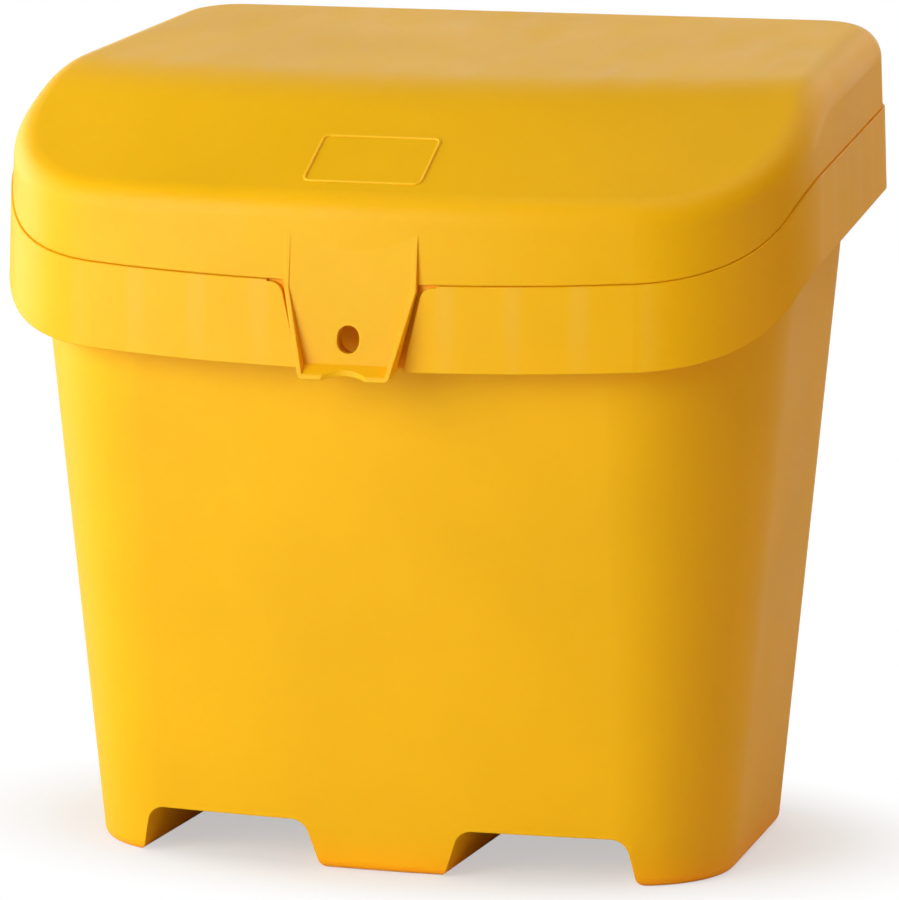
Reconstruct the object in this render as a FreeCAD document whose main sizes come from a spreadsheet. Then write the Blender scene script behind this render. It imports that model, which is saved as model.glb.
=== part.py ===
import FreeCAD, Part
import math
import os
import Sketcher

# A grit bin of about 30 litres, moulded in two halves: a drafted tub whose rim dips in an S towards the
# front, and a hollow lid that follows that rim and carries a padlock flap. X is across the bin, Y runs
# from the front (negative) to the rear, Z is up. The origin is on the ground in the middle of the plan.

SIZES = {
    # plan of the collar, at its lower edge in front
    "collar_half": 225.0,
    "collar_front": 166.6,
    "collar_back": 166.2,
    "collar_bow": 900.0,
    "collar_corner": 91.5,
    "collar_back_corner": 44.0,
    "toe_in": 3.8,
    # rim line seen from the side: it dips to the front in two arcs and climbs gently to the rear
    "rim_front": 321.6,
    "rim_dip_radius": 184.0,
    "rim_dip_lead": 46.2,
    "rim_turn": 71.0,
    "rim_crest_radius": 70.0,
    "rear_rise": 5.1,
    # collar, flange and the lip inside the lid
    "collar_height": 44.4,
    "collar_draft": 1.9,
    "collar_wall": 2.6,
    "flange_wall": 3.0,
    "lip_height": 7.0,
    "lip_wall": 2.2,
    "lip_gap": 1.2,
    # body of the tub
    "body_half": 177.0,
    "body_front": 117.6,
    "body_back": 105.5,
    "body_bow": 1237.0,
    "body_corner": 55.0,
    "body_back_corner": 50.0,
    "body_draft": 5.5,
    "body_wall": 3.0,
    "foot_round": 6.0,
    # the two channels between the three feet
    "channel_inner": 34.5,
    "channel_outer": 139.0,
    "channel_height": 26.2,
    "channel_inner_lean": 19.0,
    "channel_outer_lean": 12.0,
    "channel_round": 10.0,
    # lid
    "lid_step": 0.8,
    "lid_draft": 2.2,
    "lid_wall": 2.8,
    "lid_gap": 0.4,
    "lid_rise": 42.2,
    "lid_round": 17.0,
    "brow_rise": 40.6,
    "brow_slope": 29.2,
    "brow_bow": 850.0,
    "knee_radius": 116.0,
    # padlock flap: heights from the rim, depths from the front of the collar's lower edge
    "flap_half": 36.0,
    "flap_tip_half": 24.5,
    "flap_rise": 27.0,
    "flap_bend_drop": 2.0,
    "flap_floor_drop": 41.0,
    "flap_drop": 48.5,
    "flap_bend_depth": 0.3,
    "flap_stand": 11.6,
    "flap_panel_stand": 4.0,
    "flap_round": 3.5,
    "flap_rib": 2.6,
    "flap_wall": 2.8,
    "flap_lip": 2.2,
    "scoop_radius": 20.0,
    "scoop_depth": 4.3,
    "slot_drop": 28.0,
    "slot_half": 6.0,
    "slot_rise": 2.4,
    # pocket in the collar behind the flap, with the slotted tab as its floor
    "pocket_gap": 2.8,
    "pocket_depth": 5.0,
    "pocket_round": 7.5,
    "tab_slot_spare": 0.8,
    # hinge
    "hinge_side": 118.0,
    "hinge_width": 44.0,
    "hinge_set_back": 6.0,
    "hinge_drop": 6.0,
    "barrel_radius": 6.0,
    "knuckle_width": 20.0,
    "knuckle_gap": 0.5,
    "knuckle_rise": 20.0,
    "ear_drop": 24.0,
    "lid_opening": 105.0,
    "stop_width": 3.2,
    "stop_gap": 0.3,
    "pin_radius": 3.0,
    "pin_hold": 0.02,
    "pin_play": 0.08,
    "head_radius": 5.0,
    "head_length": 2.0,
    "pin_nose": 1.5,
    "pin_chamfer": 0.8,
}

# how far a tool runs past what it cuts
REACH = 60.0

# how a sketch constraint names the horizontal axis with the origin on it, the vertical axis and the
# points of a line or an arc
ORIGIN, AXIS_V = range(-1, -3, -1)
START, END, CENTRE = range(1, 4)

# drawn-in distances of the collar's upper edge, of the lid above it and of its inner face
COLLAR_TOP = "sizes.collar_height * tan(sizes.collar_draft * 1 deg)"
LID_FOOT = "(%s + sizes.lid_step)" % COLLAR_TOP
LID_CORE = "(%s + sizes.lid_wall)" % LID_FOOT
LIP_OUT = "(%s + sizes.lip_gap)" % LID_CORE
LIP_IN = "(%s + sizes.lip_wall)" % LIP_OUT
COLLAR_FOOT = "(sizes.rim_front - sizes.collar_height)"
# the same at the rear rim, and the height of the lid's top
REAR_RIM = "RimTopSide.Constraints.rear_rim / 1 mm"
REAR_RISE = "(%s - sizes.rim_front)" % REAR_RIM
COLLAR_REAR = "(%s + %s * tan(sizes.collar_draft * 1 deg))" % (COLLAR_TOP, REAR_RISE)
LID_REAR = "(%s + %s * tan(sizes.lid_draft * 1 deg))" % (LID_FOOT, REAR_RISE)
LID_TOP = "(%s + sizes.lid_rise)" % REAR_RIM


def fill_sheet(doc):
    sheet = doc.addObject("Spreadsheet::Sheet", "sizes")
    for row, (name, value) in enumerate(SIZES.items(), start=1):
        sheet.set("A%d" % row, name)
        sheet.set("B%d" % row, str(value))
        sheet.setAlias("B%d" % row, name)
    doc.recompute()


def new_sketch(body, name, role, level=None):
    sketch = body.newObject("Sketcher::SketchObject", name)
    planes = [item for item in body.Origin.OriginFeatures if item.Role == role]
    sketch.AttachmentSupport = (planes[0], [""])
    sketch.MapMode = "FlatFace"
    if level:
        sketch.setExpression("AttachmentOffset.Base.z", level)
    return sketch


def bind(sketch, kind, args, rough, formula):
    """Add a dimension with a rough starting value and tie it to the sheet."""
    index = sketch.addConstraint(Sketcher.Constraint(kind, *args, rough))
    sketch.setExpression("Constraints[%d]" % index, formula)
    return index


def rule(sketch, kind, *args):
    sketch.addConstraint(Sketcher.Constraint(kind, *args))


def join(sketch, pairs, kind="Coincident"):
    for first, second in pairs:
        rule(sketch, kind, first, END, second, START)


def ring_of(count):
    return [(index, (index + 1) % count) for index in range(count)]


def arc(cx, cy, radius, start, end):
    circle = Part.Circle(FreeCAD.Vector(cx, cy, 0), FreeCAD.Vector(0, 0, 1), radius)
    return Part.ArcOfCircle(circle, math.radians(start), math.radians(end))


def line(x1, y1, x2, y2):
    return Part.LineSegment(FreeCAD.Vector(x1, y1, 0), FreeCAD.Vector(x2, y2, 0))


def polygon(sketch, points):
    ends = points[1:] + points[:1]
    sketch.addGeometry([line(*point, *end) for point, end in zip(points, ends)])
    join(sketch, ring_of(len(points)))


def slope_of(degrees):
    return math.tan(math.radians(degrees))


def plan_sketch(body, name, plan, inset, level):
    """Bowed front, round corners and sides that toe in to the rear, all drawn in by inset."""
    sketch = new_sketch(body, name, "XY_Plane", level)
    half, front, back = (SIZES[plan + part] for part in ("_half", "_front", "_back"))
    bow, corner, rear = (SIZES[plan + part] for part in ("_bow", "_corner", "_back_corner"))
    centre_y = bow - front
    corner_x = half - corner
    corner_y = centre_y - math.sqrt((bow - corner) ** 2 - corner_x ** 2)
    turn = math.degrees(math.atan2(corner_y - centre_y, corner_x))
    toe = SIZES["toe_in"]
    side_x = half - slope_of(toe) * (back - rear - corner_y)
    rear_x = side_x - rear
    rear_y = back - rear
    sketch.addGeometry([
        arc(0, centre_y, bow, -180 - turn, turn),
        arc(corner_x, corner_y, corner, turn, toe),
        line(half, corner_y, side_x, rear_y),
        arc(rear_x, rear_y, rear, toe, 90),
        line(rear_x, back, -rear_x, back),
        arc(-rear_x, rear_y, rear, 90, 180 - toe),
        line(-side_x, rear_y, -half, corner_y),
        arc(-corner_x, corner_y, corner, 180 - toe, 180 - turn),
    ])
    join(sketch, ring_of(8), "Tangent")
    rule(sketch, "PointOnObject", 0, CENTRE, AXIS_V)
    bind(sketch, "DistanceY", (ORIGIN, START, 0, CENTRE), centre_y,
         "sizes.%s_bow - sizes.%s_front" % (plan, plan))
    bind(sketch, "Radius", (0,), bow, "sizes.%s_bow - %s" % (plan, inset))
    bind(sketch, "Radius", (1,), corner, "sizes.%s_corner - %s" % (plan, inset))
    rule(sketch, "Equal", 1, 7)
    middle = "sizes.%s_half - sizes.%s_corner" % (plan, plan)
    bind(sketch, "DistanceX", (ORIGIN, START, 1, CENTRE), corner_x, middle)
    bind(sketch, "DistanceX", (7, CENTRE, ORIGIN, START), corner_x, middle)
    bind(sketch, "Angle", (2,), math.radians(90 + toe), "90 + sizes.toe_in")
    bind(sketch, "Angle", (6,), math.radians(270 - toe), "270 - sizes.toe_in")
    rule(sketch, "Horizontal", 4)
    bind(sketch, "DistanceY", (ORIGIN, START, 4, START), back, "sizes.%s_back - %s" % (plan, inset))
    bind(sketch, "Radius", (3,), rear, "sizes.%s_back_corner - %s" % (plan, inset))
    rule(sketch, "Equal", 3, 5)
    return sketch


def plan_block(doc, name, plan, inset, level, length, taper):
    """A drafted block over a plan; a positive taper widens upwards."""
    body = doc.addObject("PartDesign::Body", name)
    pad = body.newObject("PartDesign::Pad", name + "Pad")
    pad.Profile = plan_sketch(body, name + "Plan", plan, inset, level)
    pad.setExpression("Length", length)
    pad.setExpression("TaperAngle", taper)
    doc.recompute()
    return body


def collar_block(doc, name, inset):
    return plan_block(doc, name, "collar", inset, COLLAR_FOOT,
                      "%s - %s" % (LID_TOP, COLLAR_FOOT), "-sizes.collar_draft")


def lid_block(doc, name, inset):
    return plan_block(doc, name, "collar", inset, "sizes.rim_front",
                      "%s - sizes.rim_front + %g" % (LID_TOP, REACH), "-sizes.lid_draft")


def body_block(doc, name, inset, level):
    return plan_block(doc, name, "body", inset, level, "%s - %s" % (LID_TOP, level), "sizes.body_draft")


def edges_of(feature, wanted):
    return ["Edge%d" % number for number, edge in enumerate(feature.Shape.Edges, start=1) if wanted(edge)]


def round_edges(doc, body, wanted, radius):
    """Fillet those edges of the body's tip that are wanted."""
    doc.recompute()
    tip = body.Tip
    fillet = body.newObject("PartDesign::Fillet", body.Name + "Round")
    fillet.Base = (tip, edges_of(tip, wanted))
    fillet.setExpression("Radius", radius)
    doc.recompute()


def bevel_edges(doc, body, wanted, radius):
    """Cut those edges so that each flat just touches the arc that a fillet of that radius would give."""
    doc.recompute()
    tip = body.Tip
    chamfer = body.newObject("PartDesign::Chamfer", body.Name + "Bevel")
    chamfer.Base = (tip, edges_of(tip, wanted))
    chamfer.setExpression("Size", "(2 - sqrt(2)) * (%s)" % radius)
    doc.recompute()


def below_rim(doc, name, rise):
    """Everything under the rim line, shifted up by rise."""
    body = doc.addObject("PartDesign::Body", name)
    sketch = new_sketch(body, name + "Side", "YZ_Plane")
    front, top, climb = SIZES["collar_front"], SIZES["rim_front"], SIZES["rear_rise"]
    dip, lead, crest = SIZES["rim_dip_radius"], SIZES["rim_dip_lead"], SIZES["rim_crest_radius"]
    start_u = -front - lead
    centre_v = top + math.sqrt(dip ** 2 - lead ** 2)
    steepest = math.degrees(math.asin((SIZES["rim_turn"] + lead) / dip))
    crest_u = start_u + (dip + crest) * math.sin(math.radians(steepest))
    crest_v = centre_v - (dip + crest) * math.cos(math.radians(steepest))
    end_u = crest_u - crest * math.sin(math.radians(climb))
    end_v = crest_v + crest * math.cos(math.radians(climb))
    far_u = SIZES["collar_back"] + REACH
    far_v = end_v + (far_u - end_u) * slope_of(climb)
    sketch.addGeometry([
        arc(start_u, centre_v, dip, -90, -90 + steepest),
        arc(crest_u, crest_v, crest, 90 + climb, 90 + steepest),
        line(end_u, end_v, far_u, far_v),
        line(far_u, far_v, far_u, -REACH),
        line(far_u, -REACH, start_u, -REACH),
        line(start_u, -REACH, start_u, centre_v - dip),
    ])
    sketch.addGeometry(Part.Point(FreeCAD.Vector(-front, top, 0)), True)
    rule(sketch, "Tangent", 0, END, 1, END)
    rule(sketch, "Tangent", 1, START, 2, START)
    join(sketch, [(2, 3), (3, 4), (4, 5), (5, 0)])
    rule(sketch, "Vertical", 0, START, 0, CENTRE)
    bind(sketch, "DistanceX", (0, CENTRE, ORIGIN, START), -start_u,
         "sizes.collar_front + sizes.rim_dip_lead")
    bind(sketch, "Radius", (0,), dip, "sizes.rim_dip_radius")
    bind(sketch, "DistanceX", (6, START, ORIGIN, START), front, "sizes.collar_front")
    bind(sketch, "DistanceY", (ORIGIN, START, 6, START), top, "sizes.rim_front + %s" % rise)
    rule(sketch, "PointOnObject", 6, START, 0)
    bind(sketch, "DistanceX", (6, START, 0, END), SIZES["rim_turn"], "sizes.rim_turn")
    bind(sketch, "Radius", (1,), crest, "sizes.rim_crest_radius")
    bind(sketch, "Angle", (2,), math.radians(climb), "sizes.rear_rise")
    bind(sketch, "DistanceX", (ORIGIN, START, 2, END), far_u, "sizes.collar_back + %g" % REACH)
    rule(sketch, "Vertical", 3)
    rule(sketch, "Horizontal", 4)
    rule(sketch, "Vertical", 5)
    bind(sketch, "DistanceY", (4, START, ORIGIN, START), REACH, "%g" % REACH)
    pad_across(body, sketch, "2 * (sizes.collar_half + %g)" % REACH)
    return body


def pad_across(body, sketch, length, both_ways=True):
    pad = body.newObject("PartDesign::Pad", sketch.Name + "Pad")
    pad.Profile = sketch
    if both_ways:
        pad.SideType = "Symmetric"
    pad.setExpression("Length", length)
    return pad


def cap(doc, name, sink):
    """The lid's top: a plane that rises to the rear, a soft knee and a bowed slope down to the front.

    All of it turns about an axis square to the plane, far behind the front, and lies sink lower.
    """
    body = doc.addObject("PartDesign::Body", name)
    sketch = new_sketch(body, name + "Side", "YZ_Plane")
    front, back = SIZES["collar_front"], SIZES["collar_back"]
    climb, fall, knee = SIZES["rear_rise"], SIZES["brow_slope"], SIZES["knee_radius"]
    rear_rim = doc.RimTopSide.getDatum("rear_rim").Value
    high, brow = rear_rim + SIZES["lid_rise"], SIZES["rim_front"] + SIZES["brow_rise"]
    high_u = back - SIZES["lid_round"]
    # where the two straight runs would cross, and the knee's tangent length there
    cross_u = (high - brow - front * slope_of(fall) - high_u * slope_of(climb))
    cross_u /= slope_of(fall) - slope_of(climb)
    cross_v = high + (cross_u - high_u) * slope_of(climb)
    bend = math.radians(fall - climb)
    run = knee * math.tan(bend / 2)
    near = (cross_u - run * math.cos(math.radians(fall)), cross_v - run * math.sin(math.radians(fall)))
    far = (cross_u + run * math.cos(math.radians(climb)), cross_v + run * math.sin(math.radians(climb)))
    centre = (far[0] + knee * math.sin(math.radians(climb)), far[1] - knee * math.cos(math.radians(climb)))
    start_u, end_u = -front - REACH, back + REACH
    start_v = near[1] + (start_u - near[0]) * slope_of(fall)
    end_v = far[1] + (end_u - far[0]) * slope_of(climb)
    floor = SIZES["rim_front"] - REACH
    sketch.addGeometry([
        line(start_u, start_v, *near),
        arc(*centre, knee, 90 + climb, 90 + fall),
        line(*far, end_u, end_v),
        line(end_u, end_v, end_u, floor),
        line(end_u, floor, start_u, floor),
        line(start_u, floor, start_u, start_v),
    ])
    axis_u = -front + SIZES["brow_bow"]
    sketch.addGeometry(line(axis_u, 0, axis_u - 100 * slope_of(climb), 100), True)
    sketch.addGeometry(Part.Point(FreeCAD.Vector(-front, brow, 0)), True)
    sketch.addGeometry(Part.Point(FreeCAD.Vector(high_u, high, 0)), True)
    rule(sketch, "Tangent", 0, END, 1, END)
    rule(sketch, "Tangent", 1, START, 2, START)
    join(sketch, [(2, 3), (3, 4), (4, 5), (5, 0)])
    bind(sketch, "Radius", (1,), knee, "sizes.knee_radius - %s" % sink)
    bind(sketch, "Angle", (0,), math.radians(fall), "sizes.brow_slope")
    bind(sketch, "Angle", (2,), math.radians(climb), "sizes.rear_rise")
    rule(sketch, "Vertical", 3)
    rule(sketch, "Horizontal", 4)
    rule(sketch, "Vertical", 5)
    bind(sketch, "DistanceX", (4, END, ORIGIN, START), -start_u, "sizes.collar_front + %g" % REACH)
    bind(sketch, "DistanceX", (ORIGIN, START, 4, START), end_u, "sizes.collar_back + %g" % REACH)
    bind(sketch, "DistanceY", (ORIGIN, START, 4, START), floor, "sizes.rim_front - %g" % REACH)
    bind(sketch, "DistanceX", (7, START, ORIGIN, START), front, "sizes.collar_front")
    bind(sketch, "DistanceY", (ORIGIN, START, 7, START), brow,
         "sizes.rim_front + sizes.brow_rise - %s / cos(sizes.brow_slope * 1 deg)" % sink)
    rule(sketch, "PointOnObject", 7, START, 0)
    bind(sketch, "DistanceX", (ORIGIN, START, 8, START), high_u,
         "sizes.collar_back - sizes.lid_round - %s - (%s - sizes.rim_front)"
         " * tan(sizes.lid_draft * 1 deg)" % (LID_FOOT, LID_TOP))
    bind(sketch, "DistanceY", (ORIGIN, START, 8, START), high,
         "%s - %s / cos(sizes.rear_rise * 1 deg)" % (LID_TOP, sink))
    rule(sketch, "PointOnObject", 8, START, 2)
    bind(sketch, "DistanceX", (ORIGIN, START, 6, START), axis_u, "sizes.brow_bow - sizes.collar_front")
    rule(sketch, "PointOnObject", 6, START, ORIGIN)
    rule(sketch, "Perpendicular", 6, 2)
    bind(sketch, "Distance", (6,), 100, "100")
    turn = body.newObject("PartDesign::Revolution", name + "Turn")
    turn.Profile = sketch
    turn.ReferenceAxis = (sketch, ["Axis0"])
    turn.setExpression("Angle", "2 * asin(1.1 * sizes.collar_half / (sizes.brow_bow - sizes.collar_front"
                       " - sizes.collar_back))")
    turn.Midplane = True
    doc.recompute()
    return body


def rear_rim_mark(doc, sketch):
    """Measure the rim's height at the collar's rear, for the hinge and the lid's top to hang on."""
    back, run = SIZES["collar_back"], sketch.Geometry[2]
    rise = slope_of(SIZES["rear_rise"])
    height = run.StartPoint.y + (back - run.StartPoint.x) * rise
    sketch.addGeometry(Part.Point(FreeCAD.Vector(back, height, 0)), True)
    rule(sketch, "PointOnObject", 7, START, 2)
    bind(sketch, "DistanceX", (ORIGIN, START, 7, START), back, "sizes.collar_back")
    index = sketch.addConstraint(Sketcher.Constraint("DistanceY", ORIGIN, START, 7, START, height))
    sketch.setDriving(index, False)
    sketch.renameConstraint(index, "rear_rim")
    doc.recompute()


def boolean(doc, kind, name, *parts):
    result = doc.addObject("Part::" + kind, name)
    if kind == "Cut":
        result.Base, result.Tool = parts
    else:
        result.Shapes = list(parts)
    doc.recompute()
    return result


def mirrored(doc, name, source):
    twin = doc.addObject("Part::Mirroring", name)
    twin.Source = source
    twin.Normal = FreeCAD.Vector(1, 0, 0)
    doc.recompute()
    return twin


def lid_solid(doc, name, inset, sink, ease, radius):
    """The lid's outer or inner form: a drafted block under the cap, eased along its top."""
    top = cap(doc, name + "Cap", sink)
    body = lid_block(doc, name, inset)
    under = body.newObject("PartDesign::Boolean", name + "Under")
    under.Type = "Common"
    under.addObjects([top])
    body.Tip = under
    doc.recompute()
    foot = under.Shape.BoundBox.ZMin
    walls = [face for face in under.Shape.Faces if face.BoundBox.ZMin < foot + 1]
    caps = [face for face in under.Shape.Faces if face.BoundBox.ZMin > foot + 1]

    def on_brow(edge):
        return any(edge.isSame(other) for face in caps for other in face.Edges) and any(
            edge.isSame(other) for face in walls for other in face.Edges)

    ease(doc, body, on_brow, radius)
    return body


def channel_sketch(body, name, inset):
    """The right-hand channel seen from the front, grown by inset."""
    sketch = new_sketch(body, name, "XZ_Plane")
    near, far, high = SIZES["channel_inner"], SIZES["channel_outer"], SIZES["channel_height"]
    near_lean, far_lean = SIZES["channel_inner_lean"], SIZES["channel_outer_lean"]
    near_top = near + high * slope_of(near_lean)
    far_top = far - high * slope_of(far_lean)
    corner = SIZES["channel_round"]
    near_run = corner * math.tan(math.radians(90 - near_lean) / 2)
    far_run = corner * math.tan(math.radians(90 - far_lean) / 2)
    near_centre = near_top + near_run
    far_centre = far_top - far_run
    near_foot = near - REACH * slope_of(near_lean)
    far_foot = far + REACH * slope_of(far_lean)
    near_x = near_centre - corner * math.cos(math.radians(near_lean))
    far_x = far_centre + corner * math.cos(math.radians(far_lean))
    near_z = high - corner + corner * math.sin(math.radians(near_lean))
    far_z = high - corner + corner * math.sin(math.radians(far_lean))
    sketch.addGeometry([
        line(near_foot, -REACH, near_x, near_z),
        arc(near_centre, high - corner, corner, 90, 180 - near_lean),
        line(near_centre, high, far_centre, high),
        arc(far_centre, high - corner, corner, far_lean, 90),
        line(far_x, far_z, far_foot, -REACH),
        line(far_foot, -REACH, near_foot, -REACH),
    ])
    sketch.addGeometry([
        Part.Point(FreeCAD.Vector(near, 0, 0)),
        Part.Point(FreeCAD.Vector(far, 0, 0)),
    ], True)
    rule(sketch, "Tangent", 0, END, 1, END)
    rule(sketch, "Tangent", 1, START, 2, START)
    rule(sketch, "Tangent", 2, END, 3, END)
    rule(sketch, "Tangent", 3, START, 4, START)
    join(sketch, [(4, 5), (5, 0)])
    rule(sketch, "Horizontal", 2)
    rule(sketch, "Horizontal", 5)
    bind(sketch, "DistanceY", (5, START, ORIGIN, START), REACH, "%g" % REACH)
    bind(sketch, "DistanceY", (ORIGIN, START, 2, START), high, "sizes.channel_height + %s" % inset)
    bind(sketch, "Radius", (1,), corner, "sizes.channel_round + %s" % inset)
    rule(sketch, "Equal", 1, 3)
    bind(sketch, "Angle", (0,), math.radians(90 - near_lean), "90 - sizes.channel_inner_lean")
    bind(sketch, "Angle", (4,), math.radians(far_lean - 90), "sizes.channel_outer_lean - 90")
    rule(sketch, "PointOnObject", 6, START, -1)
    rule(sketch, "PointOnObject", 7, START, -1)
    rule(sketch, "PointOnObject", 6, START, 0)
    rule(sketch, "PointOnObject", 7, START, 4)
    bind(sketch, "DistanceX", (ORIGIN, START, 6, START), near,
         "sizes.channel_inner - %s / cos(sizes.channel_inner_lean * 1 deg)" % inset)
    bind(sketch, "DistanceX", (ORIGIN, START, 7, START), far,
         "sizes.channel_outer + %s / cos(sizes.channel_outer_lean * 1 deg)" % inset)
    return sketch


def tub_solid(doc, name, inset, ease, radius):
    """The tub's outer or inner form: a drafted body on three feet, eased along their soles."""
    body = body_block(doc, name, inset, inset)
    cut = body.newObject("PartDesign::Pocket", name + "Channel")
    cut.Profile = channel_sketch(body, name + "ChannelSide", inset)
    cut.SideType = "Symmetric"
    cut.setExpression("Length", "2 * (sizes.collar_front + sizes.collar_back)")
    doc.recompute()
    twin = body.newObject("PartDesign::Mirrored", name + "ChannelTwin")
    twin.Originals = [cut]
    side = [item for item in body.Origin.OriginFeatures if item.Role == "YZ_Plane"]
    twin.MirrorPlane = (side[0], [""])
    body.Tip = twin
    doc.recompute()
    sole = twin.Shape.BoundBox.ZMin
    ease(doc, body, lambda edge: edge.BoundBox.ZMax < sole + 0.01, radius)
    return body


def front_outline(body, name, outline):
    """A sketch seen from the front, symmetric about X = 0, from (half width, height) formulas going down.

    Each entry is (half width, height, half width formula, height formula).
    """
    sketch = new_sketch(body, name, "XZ_Plane")
    right = [(half, height) for half, height, _, _ in outline]
    left = [(-half, height) for half, height in reversed(right)]
    polygon(sketch, right + left)
    count = len(outline)
    for index, (half, height, half_formula, height_formula) in enumerate(outline):
        twin = 2 * count - 1 - index
        bind(sketch, "DistanceX", (ORIGIN, START, index, START), half, half_formula)
        bind(sketch, "DistanceY", (ORIGIN, START, index, START), height, height_formula)
        rule(sketch, "Symmetric", index, START, twin, START, AXIS_V)
    return sketch


def front_prism(doc, name, outline):
    body = doc.addObject("PartDesign::Body", name)
    sketch = front_outline(body, name + "Face", outline)
    pad_across(body, sketch, "4 * sizes.collar_front")
    doc.recompute()
    return body


def from_rim(name, sign):
    """A height the named size above (1) or below (-1) the front rim: its rough value and its formula."""
    return SIZES["rim_front"] + sign * SIZES[name], "sizes.rim_front + (%g) * sizes.%s" % (sign, name)


def flap_outline(inset):
    """The flap from the front: straight down to the bend, then tapering to the tip."""
    rows = [("flap_half", "flap_rise", 1), ("flap_half", "flap_bend_drop", -1),
            ("flap_tip_half", "flap_drop", -1)]
    outline = []
    for half, height, sign in rows:
        level, formula = from_rim(height, sign)
        outline.append((SIZES[half], level, "sizes.%s - %s" % (half, inset), formula))
    return outline


def pocket_outline(grow):
    """The pocket behind the flap from the front, open above the rim and below the collar."""
    top = SIZES["flap_half"] + SIZES["pocket_gap"]
    tip = SIZES["flap_tip_half"] + SIZES["pocket_gap"]
    wide, rim = top + SIZES["pocket_round"], SIZES["rim_front"]
    low, low_formula = from_rim("flap_drop", -1)
    top_formula = "sizes.flap_half + sizes.pocket_gap + %s" % grow
    tip_formula = "sizes.flap_tip_half + sizes.pocket_gap + %s" % grow
    wide_formula = top_formula + " + sizes.pocket_round"
    return [
        (wide, rim + REACH, wide_formula, "sizes.rim_front + %g" % REACH),
        (wide, rim, wide_formula, "sizes.rim_front - %s" % grow),
        (top, rim, top_formula, "sizes.rim_front - %s" % grow),
        (tip, low, tip_formula, low_formula),
        (tip, low - REACH, tip_formula, "%s - %g" % (low_formula, REACH)),
    ]


def side_prism(doc, name, corners):
    """A prism across the flap from its corners seen from the side.

    Each corner is (rough depth, depth formula, (rough height, height formula)), where the depth runs
    back from the front of the collar's lower edge.
    """
    body = doc.addObject("PartDesign::Body", name)
    sketch = new_sketch(body, name + "Side", "YZ_Plane")
    front = SIZES["collar_front"]
    polygon(sketch, [(depth - front, height) for depth, _, (height, _) in corners])
    for index, (depth, formula, (height, height_formula)) in enumerate(corners):
        bind(sketch, "DistanceX", (index, START, ORIGIN, START), front - depth,
             "sizes.collar_front - (%s)" % formula)
        bind(sketch, "DistanceY", (ORIGIN, START, index, START), height, height_formula)
    pad_across(body, sketch, "4 * sizes.flap_half")
    doc.recompute()
    return body


def front_slab(doc, name, back):
    """All that lies in front of a given depth behind the collar's front, as high as the flap."""
    low, high = from_rim("flap_drop", -1), from_rim("flap_rise", 1)
    near, far = (-REACH, "-%g" % REACH), (SIZES["pocket_depth"], back)
    return side_prism(doc, name, [(*near, low), (*far, low), (*far, high), (*near, high)])


def slot_prism(doc, name, spare):
    """An obround padlock hole, running forward from the middle of the bin."""
    body = doc.addObject("PartDesign::Body", name)
    sketch = new_sketch(body, name + "Face", "XZ_Plane")
    half, rise = SIZES["slot_half"], SIZES["slot_rise"]
    height, middle = from_rim("slot_drop", -1)
    sketch.addGeometry([
        arc(0, height + rise / 2, half, 0, 180),
        line(-half, height + rise / 2, -half, height - rise / 2),
        arc(0, height - rise / 2, half, 180, 360),
        line(half, height - rise / 2, half, height + rise / 2),
    ])
    join(sketch, ring_of(4), "Tangent")
    rule(sketch, "PointOnObject", 0, CENTRE, AXIS_V)
    rule(sketch, "Vertical", 1)
    rule(sketch, "Vertical", 3)
    bind(sketch, "Radius", (0,), half, "sizes.slot_half + %s" % spare)
    bind(sketch, "DistanceY", (ORIGIN, START, 0, CENTRE), height + rise / 2,
         "%s + sizes.slot_rise / 2" % middle)
    bind(sketch, "DistanceY", (ORIGIN, START, 2, CENTRE), height - rise / 2,
         "%s - sizes.slot_rise / 2" % middle)
    pad_across(body, sketch, "sizes.collar_front + %g" % REACH, both_ways=False)
    doc.recompute()
    return body


def at_hinge(item):
    """Put an object drawn about the hinge line in its place."""
    item.setExpression("Placement.Base.x", "sizes.hinge_side")
    item.setExpression("Placement.Base.y", "sizes.collar_back + sizes.hinge_set_back")
    item.setExpression("Placement.Base.z", REAR_RIM + " - sizes.hinge_drop")


def hinge_bore(doc, name, spare):
    bore = doc.addObject("Part::Cylinder", name)
    bore.setExpression("Radius", "sizes.pin_radius + %s" % spare)
    bore.setExpression("Height", "2 * sizes.hinge_width")
    bore.Placement.Rotation = FreeCAD.Rotation(FreeCAD.Vector(0, 1, 0), 90)
    at_hinge(bore)
    bore.setExpression("Placement.Base.x", "sizes.hinge_side - sizes.hinge_width")
    doc.recompute()
    return bore


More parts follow.
